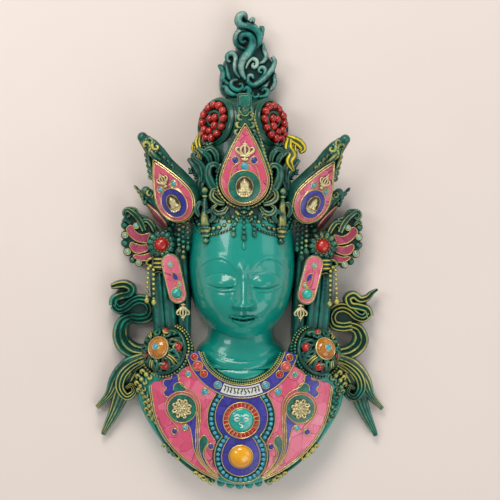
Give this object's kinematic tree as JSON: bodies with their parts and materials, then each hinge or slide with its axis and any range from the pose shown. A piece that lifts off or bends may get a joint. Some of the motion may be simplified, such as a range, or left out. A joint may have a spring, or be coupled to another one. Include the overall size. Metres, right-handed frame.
{
  "type": "buddha mask",
  "caption": "Hollow cast wall mask of a crowned, calm-faced Buddhist figure to the chest, painted green and set with stone mosaic, cabochons and cast ornaments.",
  "frame": {"origin": "centre of the bounding box in X and Y, on the plane of the mask's flat back rim", "axes": "+Y towards the crown, +Z out of the face, +X to the viewer's right; the mask lies on its back"},
  "size_m": [0.29, 0.479, 0.0894],
  "materials": {
    "painted_resin": "gloss, hand painted",
    "rose_mosaic": "polished stone chips",
    "lapis": "polished stone chips",
    "malachite": "polished stone chips",
    "turquoise": "polished",
    "coral": "polished",
    "amber": "polished",
    "pale_brass": "cast, worn"
  },
  "bodies": {
    "root": {"amber_cabochon": "amber", "centre_figure": "pale_brass", "centre_medallion": "malachite", "centre_petal_mosaic": "rose_mosaic", "centre_sceptre_end": "pale_brass", "collar_coral_left": "coral", "collar_coral_right": "coral", "collar_lapis_mosaic": "lapis", "collar_small_coral_left": "coral", "collar_small_coral_right": "coral", "collar_turquoise_left": "turquoise", "collar_turquoise_right": "turquoise", "coral_ring": "coral", "coral_spiral_left": "coral", "coral_spiral_right": "coral", "ear_mosaic_left": "rose_mosaic", "ear_mosaic_right": "rose_mosaic", "ear_pendant_left": "pale_brass", "ear_pendant_right": "pale_brass", "ear_turquoise_left": "turquoise", "ear_turquoise_right": "turquoise", "flower_coral_left": "coral", "flower_coral_right": "coral", "flower_crescent_1_left": "rose_mosaic", "flower_crescent_1_right": "rose_mosaic", "flower_crescent_2_left": "rose_mosaic", "flower_crescent_2_right": "rose_mosaic", "flower_crescent_3_left": "rose_mosaic", "flower_crescent_3_right": "rose_mosaic", "inscription_plate": "pale_brass", "lapis_mosaic": "lapis", "rear_petal_mosaic_left": "rose_mosaic", "rear_petal_mosaic_right": "rose_mosaic", "resin_casting": "painted_resin", "rose_mosaic_left": "rose_mosaic", "rose_mosaic_right": "rose_mosaic", "roundel_disc_left": "malachite", "roundel_disc_right": "malachite", "roundel_rosette_left": "pale_brass", "roundel_rosette_right": "pale_brass", "shoulder_amber_left": "amber", "shoulder_amber_right": "amber", "shoulder_turquoise_left": "turquoise", "shoulder_turquoise_right": "turquoise", "side_figure_left": "pale_brass", "side_figure_right": "pale_brass", "side_medallion_left": "lapis", "side_medallion_right": "lapis", "side_petal_mosaic_left": "rose_mosaic", "side_petal_mosaic_right": "rose_mosaic", "side_sceptre_end_left": "pale_brass", "side_sceptre_end_right": "pale_brass", "turquoise_bead_loop": "turquoise", "turquoise_bead_row_left": "turquoise", "turquoise_bead_row_right": "turquoise", "turquoise_medallion": "turquoise"}
  },
  "joints": []
}
